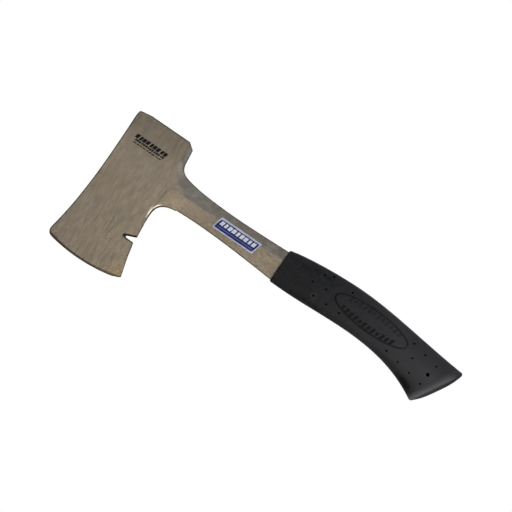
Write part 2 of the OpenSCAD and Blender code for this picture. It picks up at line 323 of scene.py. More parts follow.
def fill(loop, layers, spacing, extra=()):
    """Points and triangles that fill the loop: rows of points that follow its edge at the given depths,
    the extra points, then an even lattice. It gives the points, the triangles, each point's distance from
    the edge, and the numbers of the loop's own points."""
    ahead = np.roll(loop, -1, 0) - np.roll(loop, 1, 0)
    ahead /= np.linalg.norm(ahead, axis=1)[:, None]
    inward = np.stack([-ahead[:, 1], ahead[:, 0]], 1)
    found = []
    for depth in layers:
        row = loop + inward * depth
        dist, inside = edge_distance(row, loop)
        # at inner corners a row folds over itself, and the points of the fold are left out
        found.append(row[inside & (dist > 0.94 * depth)])
    low, high = loop.min(0), loop.max(0)
    xs = np.arange(low[0], high[0], spacing)
    zs = np.arange(low[1], high[1], spacing * LATTICE_ROW)
    lattice = np.array([(x + (j % 2) * spacing / 2, z) for j, z in enumerate(zs) for x in xs])
    if len(extra):
        extra = np.asarray(extra, float)
        dist, inside = edge_distance(extra, loop)
        extra = extra[inside & (dist > layers[-1] + 0.3)]
        found.append(extra)
        lattice = lattice[nearest(lattice, extra) > 0.55 * spacing]
    dist, inside = edge_distance(lattice, loop)
    found.append(lattice[inside & (dist > layers[-1] + 0.6 * spacing)])
    points = np.concatenate([loop] + found)
    rim = [(i, (i + 1) % len(loop)) for i in range(len(loop))]
    placed, _, tris, sources, _, _ = delaunay_2d_cdt([Vector(p) for p in points], rim, [], 1, 1e-7)
    placed = np.array([tuple(v) for v in placed])
    dist, _ = edge_distance(placed, loop)
    number = {j: i for i, js in enumerate(sources) for j in js}
    return placed, [tuple(f) for f in tris], dist, [number[i] for i in range(len(loop))]


def mesh_piece(name, verts_mm, faces, material, smooth_angle=32.0, **tones):
    """A piece from points in mm. Each tone, one value a point, is an attribute that its material reads."""
    mesh = bpy.data.meshes.new(name)
    mesh.from_pydata([tuple(float(c) * MM for c in v) for v in verts_mm], [], faces)
    for tone, values in tones.items():
        layer = mesh.attributes.new(tone, "FLOAT", "POINT")
        layer.data.foreach_set("value", np.asarray(values, np.float32))
    bm = bmesh.new()
    bm.from_mesh(mesh)
    bmesh.ops.recalc_face_normals(bm, faces=bm.faces)
    bm.to_mesh(mesh)
    bm.free()
    mesh.shade_smooth()
    mesh.set_sharp_from_angle(angle=math.radians(smooth_angle))
    piece = bpy.data.objects.new(name, mesh)
    bpy.context.scene.collection.objects.link(piece)
    mesh.materials.append(material)
    return piece


# ---------------------------------------------------------------- surfaces, as half thickness over x and z
def line_distance(x, z, line):
    """Distance from each point to an open line."""
    line = np.asarray(line, float)
    best = np.full(np.shape(x), 1e9)
    for a, b in zip(line[:-1], line[1:]):
        ab = b - a
        t = np.clip(((x - a[0]) * ab[0] + (z - a[1]) * ab[1]) / (ab @ ab), 0, 1)
        best = np.minimum(best, np.hypot(x - a[0] - t * ab[0], z - a[1] - t * ab[1]))
    return best


def eased_ramp(d, w):
    """d, but starting with a curve over the first w."""
    return np.where(d < w, d * d / (2 * w), d - w / 2)


def cheek_half(x):
    return POLL_T / 2 + TAPER * x


def inside_edge(x, z):
    """How far each point lies inside the cutting edge."""
    return EDGE_R - np.hypot(x - EDGE_CENTRE[0], z - EDGE_CENTRE[1])


def head_half(x, z):
    """The flat cheek down to the edge bevel and the poll's chamfer."""
    rise = (BLADE_T - EDGE_LAND) / 2 / BEVEL_W
    bevel = EDGE_LAND / 2 + rise * np.clip(inside_edge(x, z), 0, None)
    return np.minimum(soft_min(cheek_half(x), bevel, 0.12), POLL_T / 2 - POLL_CHAMFER - x)


def is_behind_crease(x, z):
    """Whether each point lies on the back facets, behind the back crease."""
    rising = np.array(BACK_CREASE)[::-1]
    return (x > CREST_X) & (z < np.interp(x, rising[1:, 0], rising[1:, 1]))


def steel_half(x, z):
    """Half thickness of the forging, before its edges are eased."""
    head = head_half(x, z)
    # the front of the neck runs from the cheek's plane down to the front of the shank's roof
    down = fade(z, -25, -63)
    roof = SHANK_T / 2 + ROOF_SLOPE * (x - CREST_X)
    front = head * (1 - down) + roof * down
    front = front - 0.1 * ridge(line_distance(x, z, FRONT_CREASE), 0, 0.6)
    # behind the back crease the steel falls away: gently and then steeply under the poll, and
    # straight, from a crest that softens towards the grip, down the shank
    gap = line_distance(x, z, BACK_CREASE)
    by_poll = fade(z, -46, -30)
    gentle_w = 0.3 + 3.2 * fade(x, -14.5, -20.5)
    poll_fall = 0.07 * gap + 0.25 * eased_ramp(np.clip(gap - gentle_w, 0, None), 1.2)
    crest_w = 0.7 + 3.3 * fade(z, -62, -117)
    roof_fall = (1 + BACK_STEEPNESS) * ROOF_SLOPE * eased_ramp(gap, crest_w)
    half = front - is_behind_crease(x, z) * (poll_fall * by_poll + roof_fall * (1 - by_poll))
    return np.where((x < NECK_FRONT_X) | (z > NECK_TOP_Z), head, half)


def slot_depth_in(x, z):
    """How far inside the nail slot's bevel each point lies."""
    outline = np.array(SLOT_BEVEL, float)
    flat = np.stack([np.ravel(x), np.ravel(z)], 1)
    dist, inside = edge_distance(flat, outline[::-1])
    return np.where(inside, dist, 0).reshape(np.shape(x))


def grip_front(t):
    return chain(FRONT_SIDE, t)


def grip_back(t):
    return chain(BACK_SIDE, t)


def grip_half(t):
    """Half thickness of the grip: fuller at the palm, drawn in at the waist and full again at the butt."""
    palm = smooth(t / 0.4)
    waist = smooth((t - 0.4) / 0.3)
    butt = smooth((t - 0.7) / 0.3)
    return 0.5 * (
        GRIP_MOUTH_T
        + (GRIP_PALM_T - GRIP_MOUTH_T) * palm
        - (GRIP_PALM_T - GRIP_WAIST_T) * waist
        + (GRIP_BUTT_T - GRIP_WAIST_T) * butt
    )


# ---------------------------------------------------------------- materials
class Nodes:
    """A material's node tree, with short calls to add and join nodes."""

    def __init__(self, name):
        self.material = bpy.data.materials.new(name)
        self.material.use_nodes = True
        self.tree = self.material.node_tree
        self.tree.nodes.clear()
        self.out = self.tree.nodes.new("ShaderNodeOutputMaterial")
        self.shader = self.tree.nodes.new("ShaderNodeBsdfPrincipled")
        self.tree.links.new(self.shader.outputs[0], self.out.inputs[0])
        self.where = self.add("ShaderNodeTexCoord").outputs["Object"]

    def add(self, kind, **values):
        node = self.tree.nodes.new(kind)
        for name, value in values.items():
            setattr(node, name, value)
        return node

    def put(self, socket, value):
        if isinstance(value, bpy.types.NodeSocket):
            self.tree.links.new(value, socket)
        else:
            socket.default_value = value

    def noise(self, per_m, detail=3.0, rough=0.55, distortion=0.0):
        """Noise with this many features per metre along x, y and z."""
        grid = self.add("ShaderNodeMapping")
        self.put(grid.inputs["Vector"], self.where)
        grid.inputs["Scale"].default_value = per_m
        n = self.add("ShaderNodeTexNoise")
        self.put(n.inputs["Vector"], grid.outputs[0])
        n.inputs["Scale"].default_value = 1.0
        n.inputs["Detail"].default_value = detail
        n.inputs["Roughness"].default_value = rough
        n.inputs["Distortion"].default_value = distortion
        return n.outputs["Fac"]

    def math(self, kind, a, b=0.0, clamp=False):
        m = self.add("ShaderNodeMath", operation=kind, use_clamp=clamp)
        self.put(m.inputs[0], a)
        self.put(m.inputs[1], b)
        return m.outputs[0]

    def ramp(self, value, low, high, out_low=0.0, out_high=1.0):
        r = self.add("ShaderNodeMapRange", interpolation_type="SMOOTHSTEP")
        for socket, v in zip(r.inputs[:5], (value, low, high, out_low, out_high)):
            self.put(socket, v)
        return r.outputs[0]

    def mix(self, factor, a, b):
        m = self.add("ShaderNodeMix", data_type="RGBA")
        colours = [s for s in m.inputs if s.type == "RGBA"]
        self.put(m.inputs[0], factor)
        self.put(colours[0], a)
        self.put(colours[1], b)
        return [s for s in m.outputs if s.type == "RGBA"][0]

    def shaded(self, base, tone, dark, pale, dark_share, pale_share):
        """The base colour, darkened where the tone is above 0 and paler where it is below."""
        base = self.mix(self.math("MULTIPLY", tone, dark_share, True), base, dark)
        return self.mix(self.math("MULTIPLY", tone, -pale_share, True), base, pale)

    def axis(self, name):
        split = self.add("ShaderNodeSeparateXYZ")
        self.put(split.inputs[0], self.where)
        return split.outputs[name]

    def attribute(self, name):
        a = self.add("ShaderNodeAttribute", attribute_type="GEOMETRY", attribute_name=name)
        return a.outputs["Fac"]

    def bump(self, height, depth_mm, strength):
        b = self.add("ShaderNodeBump")
        b.inputs["Distance"].default_value = depth_mm * MM
        b.inputs["Strength"].default_value = strength
        self.put(b.inputs["Height"], height)
        self.put(self.shader.inputs["Normal"], b.outputs[0])

    def set(self, **values):
        for name, v in values.items():
            self.put(self.shader.inputs[name.replace("_", " ")], v)
        return self.material


def rgb(*levels):
    """A linear colour from three 8-bit display values."""
    linear = [((c / 255 + 0.055) / 1.055) ** 2.4 if c > 10 else c / 255 / 12.92 for c in levels]
    return (*linear, 1.0)


def steel_material():
    """Ground steel: grain along the blade and down the shank, clouds, and the forging's three tones, which
    paint most of its light and shade.
    """
    m = Nodes("ground_steel")
    z = m.axis("Z")
    on_shank = m.ramp(z, -0.024, -0.034)
    shade, cool, warm = m.attribute("shade"), m.attribute("cool"), m.attribute("warm")
    head_grain = m.noise((90, 500, 1300), 4, 0.65)
    head_lines = m.noise((40, 300, 2800), 2, 0.6)
    shank_grain = m.noise((1500, 500, 260), 3, 0.6)
    grain = m.mix(on_shank, head_grain, shank_grain)
    cloud = m.noise((38, 38, 38), 3, 0.55, 0.6)
    patch = m.noise((190, 190, 190), 4, 0.6)
    base = m.mix(m.ramp(cloud, 0.36, 0.64), rgb(119, 109, 95), rgb(134, 122, 104))
    base = m.mix(m.ramp(patch, 0.35, 0.7, 0.0, 0.5), base, rgb(130, 119, 106))
    base = m.mix(m.math("MULTIPLY", on_shank, 0.36), base, rgb(104, 94, 79))
    # painted warm light on the blade's heel and on the neck
    base = m.mix(warm, base, rgb(158, 138, 102))
    # the back facets' cool tone is partly their forged finish and partly painted light that makes them
    # paler and bluer
    facet = m.mix(m.ramp(patch, 0.35, 0.7), rgb(119, 110, 99), rgb(137, 128, 115))
    base = m.mix(cool, base, facet)
    # what is left of cool above 1, painted light under the poll, turns the facet blue-grey
    base = m.mix(m.math("SUBTRACT", cool, 1.0, True), base, rgb(150, 152, 158))
    base = m.mix(m.ramp(grain, 0.3, 0.72, 0.0, 0.42), base, rgb(88, 82, 74))
    base = m.mix(m.ramp(head_lines, 0.56, 0.74, 0.0, 0.22), base, rgb(168, 159, 142))
    # the shade attribute paints shade where it is above 0 and light and highlights where it is below
    base = m.shaded(base, shade, rgb(20, 18, 16), rgb(255, 250, 238), 0.95, 1.0)
    rough = m.math("ADD", m.ramp(grain, 0.25, 0.75, 0.36, 0.5), m.ramp(cloud, 0.3, 0.7, -0.03, 0.04))
    height = m.math("ADD", m.math("MULTIPLY", grain, 0.8), m.math("MULTIPLY", head_lines, 0.3))
    m.bump(height, 0.05, 0.35)
    return m.set(Base_Color=base, Roughness=rough, Metallic=0.9, Coat_Weight=0.08, Coat_Roughness=0.3)


def rubber_material():
    """Black rubber: fine grain, mottling and scuffs, with painted light that makes it greyer towards the
    butt.
    """
    m = Nodes("moulded_rubber")
    grain = m.noise((2600, 2600, 2600), 2, 0.5)
    mottle = m.noise((230, 230, 190), 4, 0.62, 0.5)
    cloud = m.noise((32, 32, 26), 2, 0.5)
    scuff = m.noise((260, 900, 90), 3, 0.6)
    base = m.mix(m.ramp(cloud, 0.35, 0.65), rgb(15, 15, 17), rgb(27, 27, 30))
    base = m.mix(m.ramp(mottle, 0.4, 0.66, 0.0, 0.6), base, rgb(45, 45, 49))
    base = m.mix(m.ramp(scuff, 0.62, 0.8, 0.0, 0.3), base, rgb(60, 60, 63))
    # painted light: greyer towards the butt
    base = m.mix(m.ramp(m.axis("Z"), -0.16, -0.31, 0.0, 0.6), base, rgb(74, 74, 78))
    # the shade attribute paints shade where it is above 0 and light where it is below
    base = m.shaded(base, m.attribute("shade"), rgb(4, 4, 5), rgb(128, 128, 131), 0.9, 0.8)
    rough = m.math("ADD", m.ramp(mottle, 0.3, 0.7, 0.52, 0.68), m.ramp(cloud, 0.3, 0.7, -0.04, 0.04))
    height = m.math("ADD", m.math("MULTIPLY", grain, 0.5), m.math("MULTIPLY", mottle, 1.0))
    m.bump(height, 0.12, 0.5)
    return m.set(Base_Color=base, Roughness=rough, Metallic=0.0, Specular_IOR_Level=0.2)


def film_material(name, dark, light, rough):
    """Film or ink: a clouded colour between dark and light, faintly speckled."""
    m = Nodes(name)
    speckle = m.noise((1800, 1800, 1800), 2, 0.5)
    cloud = m.noise((160, 160, 120), 3, 0.5)
    base = m.mix(m.ramp(cloud, 0.35, 0.65), dark, light)
    m.bump(speckle, 0.02, 0.25)
    return m.set(
        Base_Color=base, Roughness=m.ramp(cloud, 0.3, 0.7, rough, rough + 0.1), Metallic=0.0,
        Coat_Weight=0.06, Coat_Roughness=0.2, Specular_IOR_Level=0.15,
    )


def pit_material():
    """The near black inside of the pits."""
    m = Nodes("pit_shadow")
    dust = m.noise((900, 900, 900), 2, 0.5)
    base = m.mix(dust, rgb(1, 1, 1), rgb(6, 6, 6))
    return m.set(Base_Color=base, Roughness=m.ramp(dust, 0.3, 0.7, 0.9, 1.0), Specular_IOR_Level=0.0)


STEEL = steel_material()
PIT_DARK = pit_material()
RUBBER = rubber_material()
SILVER = film_material("silver_film", rgb(188, 192, 212), rgb(206, 210, 226), 0.4)
BLUE = film_material("blue_ink", rgb(10, 18, 86), rgb(18, 31, 108), 0.4)
WHITE = film_material("white_ink", rgb(222, 230, 250), rgb(238, 244, 255), 0.4)
PALE_BLUE = film_material("pale_blue_ink", rgb(84, 98, 178), rgb(104, 116, 196), 0.4)
INK = film_material("dark_ink", rgb(3, 3, 3), rgb(9, 8, 8), 0.6)


# ---------------------------------------------------------------- forged body
# Spots of the side view: x and z in mm, then the reach along each
TOE = (-124, 26, 12, 12)
NECK = (-50, -37, 9, 10)
BEARD = (-63, -28, 8, 7)
UNDER_POLL = (-25, -29, 6, 5)
CREASE_BEND = (-22.3, -23, 3, 2.2)
# Widths of the easing along the outline and of the painted dark outline there, and what the beard adds to
# each
EDGE_EASE, BEARD_EASE = 0.8, 1.6
EDGE_SHADE_W, BEARD_EDGE_SHADE_W = 0.95, 0.55
# painted shade on the side wall, darker on the nail slot's wall
SLOT_WALL_SHADE, WALL_SHADE = 0.8, 0.15


def steel_tones(x, z, depth, in_slot, beard):
    """Three tones over the forging's faces, most of them painted light and shade: shade, 1 dark and -1
    pale, then cool and warm steel.
    """
    behind = is_behind_crease(x, z)
    gap = line_distance(x, z, BACK_CREASE)
    # the back facets' cool tone is partly their forged finish and partly painted light that makes them
    # paler and bluer
    cool = behind * fade(gap, 0, 0.9)
    under_poll = behind * fade(x, -22, -14) * fade(gap, 1, 4)
    # painted shade: a dark outline along the edges, on the edge bevel and in the nail slot's bevel
    shade = (1 - smooth(depth / (EDGE_SHADE_W + BEARD_EDGE_SHADE_W * beard))) * (1 - 0.6 * under_poll)
    shade = np.maximum(shade, 0.12 * (inside_edge(x, z) < BEVEL_W) * (x < -110))
    shade = np.maximum(shade, fade(in_slot, 0, 0.45))
    # painted shade: the poll end is a little darker, and so are the blade and its toe
    shade += 0.25 * fade(x, -28, -10) * (1 - cool) + 0.05 * fade(x, -105, -125)
    shade += 0.04 * spot(x, z, TOE)
    # painted light: the neck and the back facets beside it are a little paler
    neck = spot(x, z, NECK) * (1 - cool)
    shade -= 0.03 * neck * fade(z, -25, -27)
    shade -= 0.06 * cool * fade(gap, 0.8, 2.8) * fade(z, -58, -44)
    # painted light makes the steep facet under the poll paler, and painted shade keeps the gentle slope
    # above it no brighter than the cheek
    shade -= 0.02 * under_poll + 0.13 * cool * spot(x, z, UNDER_POLL)
    shade += 0.2 * behind * spot(x, z, CREASE_BEND)
    shade += 0.24 * behind * ridge(gap, 2.8, 1.0) * fade(x, -24, -27) * fade(z, -38, -30)
    # painted shade: a dark line where the ground cheek ends over the neck
    shade += 0.22 * ridge(line_distance(x, z, FRONT_CREASE), 0, 0.8)
    # painted highlight on the beard's rounded edge
    beard_highlight_span = fade(x, -75, -68) * fade(x, -56, -60) * (z < -15) * (z > -36)
    shade -= 0.9 * ridge(depth, 1.8, 0.45) * beard_highlight_span
    # painted warm light on the blade's heel and on the neck
    heel = smooth((fade(x, -95, -130) + fade(z, -10, -35) - 1.1) / 0.9) * (z > -42)
    return shade, 0.9 * cool + 0.5 * under_poll, 0.6 * heel + 0.35 * neck


def crease_points():
    """Points in pairs, either side of each crease, so that the mesh's edges follow it."""
    pairs = [
        (EDGE_CENTRE[0] - r * math.cos(a), EDGE_CENTRE[1] + r * math.sin(a))
        for a in np.radians(np.arange(-18, 18, 0.3))
        for r in (EDGE_R - BEVEL_W + CREASE_GAP, EDGE_R - BEVEL_W - CREASE_GAP)
    ]
    for crease in (BACK_CREASE, FRONT_CREASE, SLOT_BEVEL):
        for p, q in zip(crease[:-1], crease[1:]):
            m = max(1, int(math.dist(p, q) / (2 * CREASE_GAP)))
            off = np.array((p[1] - q[1], q[0] - p[0])) / math.dist(p, q) * CREASE_GAP
            for k in range(m):
                at = np.array(p) * (1 - k / m) + np.array(q) * k / m
                pairs += [tuple(at + off), tuple(at - off)]
    return pairs


def forged_body():
    loop = refine(middle_section("forged_body"), OUTLINE_STEP)
    points, tris, depth, rim = fill(loop, EDGE_ROWS, STEEL_GRID, crease_points())
    x, z = points[:, 0], points[:, 1]
    half = np.where(z < SHANK_END_Z, TANG_T / 2, steel_half(x, z))
    in_slot = slot_depth_in(x, z)
    half = half - SLOT_BEVEL_FALL * in_slot
    beard = spot(x, z, BEARD)
    ease = np.minimum(EDGE_EASE + BEARD_EASE * beard, 0.6 * half)
    inner = np.clip(ease - depth, 0, None)
    half = half - (ease - np.sqrt(np.clip(ease**2 - inner**2, 0, None)))
    shade, cool, warm = steel_tones(x, z, depth, in_slot, beard)
    n, count = len(points), len(rim)
    verts = [(p[0], side * h, p[1]) for side in (-1, 1) for p, h in zip(points, half)]
    faces = tris + [tuple(i + n for i in reversed(f)) for f in tris]
    # the side wall, with a row of points inside each of its edges, where the painted shade is lighter than
    # along them
    wall_half = half[rim] - np.minimum(EDGE_EASE, 0.5 * half[rim])
    verts += [(points[i][0], side * h, points[i][1]) for side in (-1, 1) for i, h in zip(rim, wall_half)]
    wall_shade = np.where(in_slot[rim] > 0, SLOT_WALL_SHADE, WALL_SHADE)
    shade = np.concatenate([shade, shade, wall_shade, wall_shade])
    cool, warm = (np.concatenate([tone, tone, tone[rim], tone[rim]]) for tone in (cool, warm))
    front_row, back_row = range(2 * n, 2 * n + count), range(2 * n + count, 2 * n + 2 * count)
    rows = [rim, front_row, back_row, [i + n for i in rim]]
    for upper, lower in zip(rows, rows[1:]):
        for k in range(count):
            m = (k + 1) % count
            faces.append((upper[k], upper[m], lower[m], lower[k]))
    return mesh_piece("forged_body_steel", verts, faces, STEEL, shade=shade, cool=cool, warm=warm)


# ---------------------------------------------------------------- grip
OVAL_MID = (-37.5, -229.5)
OVAL_AXES = (9.7, 36.8)
OVAL_LEAN = math.radians(1.5)
OVAL_DEPTH, OVAL_LINE_W = 0.7, 0.55
BARS_A_ROW, BAR_PITCH = 12, 4.55
BAR_HALF_LENGTHS = (2.5, 2.0, 2.5, 1.6)
BAR_HALF_W, BAR_LEAN = 1.2, 0.3
DIMPLE_R, DIMPLE_H = 2.2, 0.2  # the low ring round the first vent pit


def oval_coords(x, z):
    """Across and along the cartouche from its middle."""
    dx, dz = x - OVAL_MID[0], z - OVAL_MID[1]
    c, s = math.cos(OVAL_LEAN), math.sin(OVAL_LEAN)
    return dx * c - dz * s, dx * s + dz * c


def relief(x, z):
    """Height of the moulded cartouche over the grip's face: a sunk oval line and two rows of sunk bars."""
    u, v = oval_coords(x, z)
    a, b = OVAL_AXES
    f = (u / a) ** 2 + (v / b) ** 2 - 1
    slope = np.maximum(2 * np.hypot(u / a**2, v / b**2), 1e-6)
    out = -OVAL_DEPTH * ridge(f / slope, 0, OVAL_LINE_W)
    for side in (-1, 1):
        for i in range(BARS_A_ROW):
            # the rows follow the oval's curve
            at = (i - (BARS_A_ROW - 1) / 2) * BAR_PITCH - 1.0 * side
            mid = side * (a - 3.9) * math.sqrt(max(0.0, 1 - (at / (b - 2.5)) ** 2)) + side * 0.6
            half_long = BAR_HALF_LENGTHS[(i + (side > 0)) % len(BAR_HALF_LENGTHS)]
            beyond_end = np.abs(u - mid) - half_long
            beyond_side = np.abs(v - at + BAR_LEAN * (u - mid)) - BAR_HALF_W
            d = np.maximum(beyond_end, beyond_side)
            sunk = (0.12 * side - 0.45) * fade(d, 0.3, -0.2)
            out = np.minimum(out, np.where(d < 0.5, sunk, out))
    return out


def dimple(x, z):
    """Height of the low raised ring round the first vent pit."""
    away = np.hypot(x - PIT_COLUMNS[0][0], z - PIT_COLUMNS[0][1]) / DIMPLE_R
    return DIMPLE_H * ridge(away, 1, 0.5)


def ring_angles():
    """The angles at which the grip's columns run, evenly spaced round a section of its usual size."""
    a = np.linspace(0, 2 * math.pi, 4001)
    u, v = superellipse(a, GRIP_POWER)
    steps = np.hypot(np.diff(u * 18), np.diff(v * 12.3))
    s = np.concatenate([[0], np.cumsum(steps)])
    return np.interp(np.linspace(0, s[-1], GRIP_COLUMNS, endpoint=False), s, a)


def grip_ring(t, inset, shrink, drop, angles):
    """A section of the grip: drawn in by inset, scaled by shrink and moved by drop towards the butt."""
    f, b = grip_front(t), grip_back(t)
    width = np.linalg.norm(b - f)
    along = (b - f) / width
    mid = (f + b) / 2 + drop * np.array((along[1], -along[0]))
    u, v = superellipse(angles, GRIP_POWER)
    u, v = u * (width / 2 - inset) * shrink, v * (grip_half(t) - inset) * shrink
    return np.stack([mid[0] + along[0] * u, v, mid[1] + along[1] * u], 1)


def tang_ring(t, squeeze, angles):
    """A section of the cavity round the tang."""
    f, b = grip_front(t), grip_back(t)
    width = np.linalg.norm(b - f) * TANG_SHARE * squeeze
    along = (b - f) / np.linalg.norm(b - f)
    mid = (f + b) / 2
    u, v = superellipse(angles, TANG_POWER)
    u, v = u * width / 2, v * TANG_T / 2 * squeeze
    return np.stack([mid[0] + along[0] * u, v, mid[1] + along[1] * u], 1)


def mouth_ring(z, angles, sink):
    """The grip's mouth, pressed against the shank: the shank's section at height z, drawn in by sink."""
    x0, x1 = SHANK_X_AT_GRIP[0] + sink, SHANK_X_AT_GRIP[1] - sink
    c = np.clip(np.cos(angles) * 1.25, -1, 1)
    x = (x0 + x1) / 2 + (x1 - x0) / 2 * c
    top = steel_half(x, np.full_like(x, z)) - sink
    v = np.clip(np.sin(angles) * 2.2, -1, 1)
    return np.stack([x, top * v, np.full_like(x, z)], 1)


def grip_t(x, z):
    """t of the section that passes through each point of the side view, found by halving."""
    lo, hi = np.zeros_like(x), np.ones_like(x)
    for _ in range(22):
        m = (lo + hi) / 2
        f, b = grip_front(m), grip_back(m)
        below = (x - f[..., 0]) * (b[..., 1] - f[..., 1]) - (z - f[..., 1]) * (b[..., 0] - f[..., 0]) > 0
        lo, hi = np.where(below, m, lo), np.where(below, hi, m)
    return (lo + hi) / 2


def grip_face(x, z):
    """Half thickness of the grip's skin at each point of the side view."""
    t = grip_t(x, z)
    f, b = grip_front(t), grip_back(t)
    s = np.hypot(x - f[..., 0], z - f[..., 1]) / np.linalg.norm(b - f, axis=-1)
    return grip_half(t) * np.clip(1 - np.abs(2 * s - 1) ** GRIP_POWER, 0, 1) ** (1 / GRIP_POWER)


def drop_lone_points(mesh):
    """Takes out the points that a boolean leaves on a straight edge, where only two edges meet."""
    bm = bmesh.new()
    bm.from_mesh(mesh)
    bmesh.ops.dissolve_verts(bm, verts=[v for v in bm.verts if len(v.link_edges) == 2])
    bm.to_mesh(mesh)
    bm.free()


def cut(piece, cutters):
    """Takes the cutters, as (centre, radius, low y, high y), out of the piece."""
    bm = bmesh.new()
    upright = Matrix.Rotation(math.pi / 2, 4, "X")
    for (x, z), r, y0, y1 in cutters:
        bmesh.ops.create_cone(
            bm, cap_ends=True, segments=28, radius1=r * MM, radius2=r * MM, depth=(y1 - y0) * MM,
            matrix=Matrix.Translation((x * MM, (y0 + y1) / 2 * MM, z * MM)) @ upright,
        )
    mesh = bpy.data.meshes.new("cutters")
    bm.to_mesh(mesh)
    bm.free()
    mesh.materials.append(PIT_DARK)
    tool = bpy.data.objects.new("cutters", mesh)
    bpy.context.scene.collection.objects.link(tool)
    mod = piece.modifiers.new("pits", "BOOLEAN")
    mod.operation = "DIFFERENCE"
    mod.solver = "EXACT"
    mod.material_mode = "TRANSFER"
    mod.object = tool
    bpy.context.view_layer.update()
    result = piece.evaluated_get(bpy.context.evaluated_depsgraph_get())
    done = bpy.data.meshes.new_from_object(result)
    piece.modifiers.clear()
    drop_lone_points(done)
    piece.data = done
    bpy.data.objects.remove(tool)
    done.shade_smooth()
    done.set_sharp_from_angle(angle=math.radians(38))


def pit_cutters():
    """The cutters of the pin hole and the vent pits, on both faces."""
    floor_y = TANG_T / 2 + PIN_HOLE_FLOOR
    cutters = [(PIN_HOLE_POS, PIN_HOLE_R, floor_y, 20), (PIN_HOLE_POS, PIN_HOLE_R, -20, -floor_y)]
    for x0, z0, step, count in PIT_COLUMNS:
        for i in range(count):
            at = (x0 + step * i, z0 - PIT_PITCH * i)
            y = float(grip_face(np.array(at[0]), np.array(at[1])))
            cutters += [(at, PIT_R, y - PIT_DEPTH, y + 1), (at, PIT_R, -y - 1, -y + PIT_DEPTH)]
    return cutters


MOUTH_SINK = 0.15
LIP_TURNS = np.radians((0, 18, 36, 54, 72))
BUTT_TURNS = np.radians((15, 30, 45, 60, 74))
CROWN_SCALES = (0.97, 0.93, 0.87, 0.8, 0.7, 0.6, 0.48, 0.36, 0.22, 0.1)
# t of the rings down the sides, closer together over the cartouche
SIDE_TS = np.concatenate(
    [np.linspace(0, 0.24, 34)[:-1], np.linspace(0.24, 0.76, 190), np.linspace(0.76, 1, 38)[1:]]
)
SIDE = slice(2 + len(LIP_TURNS), 2 + len(LIP_TURNS) + len(SIDE_TS))
TANG_TS = np.linspace(0.045, 0.93, 20)
TANG_TIP_T = 0.945
# Spots of the side view: x and z in mm, then the reach along each
# painted shade at the flare and painted light over the butt are centred on these
FLARE = (-67, -281, 8, 12)
BUTT = (-50, -300, 14, 14)
# painted highlight along the rim of the butt
BUTT_RIM_HIGHLIGHT = (-0.07, -0.2, -0.4, -0.6, -0.8, -0.65, -0.4, -0.25, -0.12)  # tone of the rings at its rim
BUTT_RIM_ROWS = slice(SIDE.stop - 4, SIDE.stop - 4 + len(BUTT_RIM_HIGHLIGHT))


def grip_rings(angles):
    """The outside of the grip: two rings against the shank, its lip, its sides and its crowned butt."""
    rings = [mouth_ring(z, angles, MOUTH_SINK) for z in (SHANK_END_Z, GRIP_Z)]
    for a in LIP_TURNS:
        rings.append(grip_ring(0, END_ROUND * (1 - math.sin(a)), 1, -END_ROUND * math.cos(a), angles))
    rings += [grip_ring(t, 0, 1, 0, angles) for t in SIDE_TS]
    for a in BUTT_TURNS:
        rings.append(grip_ring(1, BUTT_ROUND * (1 - math.cos(a)), 1, BUTT_ROUND * math.sin(a), angles))
    for k in CROWN_SCALES:
        rings.append(grip_ring(1, BUTT_ROUND, k, BUTT_ROUND + BUTT_CROWN * (1 - k**3), angles))
    return np.array(rings)


def rubber_light_and_shade(x, z, across):
    """Slow changes of tone over the grip, all painted shade and light: darker at the flare, along the front
    and back edges and at the top, paler over the butt. across runs from -1 at its front to 1 at its back.
    """
    flare = 0.9 * spot(x, z, FLARE)
    front = 0.42 * ridge(across, -0.8, 0.2) * fade(z, -235, -255) * fade(z, -295, -280)
    back = 0.24 * fade(across, 0.1, 0.6) * fade(z, -255, -270)
    top = 0.28 * ridge(x, -45, 9) * fade(z, -178, -166)
    return flare + front + back + top - 0.075 * spot(x, z, BUTT)


def mould_relief(rings, angles):
    """Moves the rings' sides by the relief on the two broad faces, and gives each point its shade."""
    sides = rings[SIDE]
    x, y, z = sides[..., 0], sides[..., 1], sides[..., 2]
    level = grip_half(SIDE_TS)[:, None] * 0.6
    broad = smooth((np.abs(y) - level) / 1.5)
    lift, ring = relief(x, z) * broad, dimple(x, z) * broad
    sides[..., 1] = y + np.sign(y) * (lift + ring)
    # painted shade darkens the recesses, and painted highlights lie on the ring round the first pit and
    # along the rim of the butt
    shade = np.zeros(rings.shape[:2])
    across, _ = superellipse(angles, GRIP_POWER)
    recess_shade = np.clip(-lift / 0.5 - 0.15, 0, 1)
    shade[SIDE] = recess_shade - 0.4 * ring + rubber_light_and_shade(x, z, across)
    shade[BUTT_RIM_ROWS] = np.array(BUTT_RIM_HIGHLIGHT)[:, None] * fade(rings[BUTT_RIM_ROWS, :, 0], -33, -42)
    return shade


def strip(first, second):
    """Faces between two rings, given the number of each ring's first point."""
    faces = []
    for k in range(GRIP_COLUMNS):
        m = (k + 1) % GRIP_COLUMNS
        faces.append((first + k, second + k, second + m, first + m))
    return faces


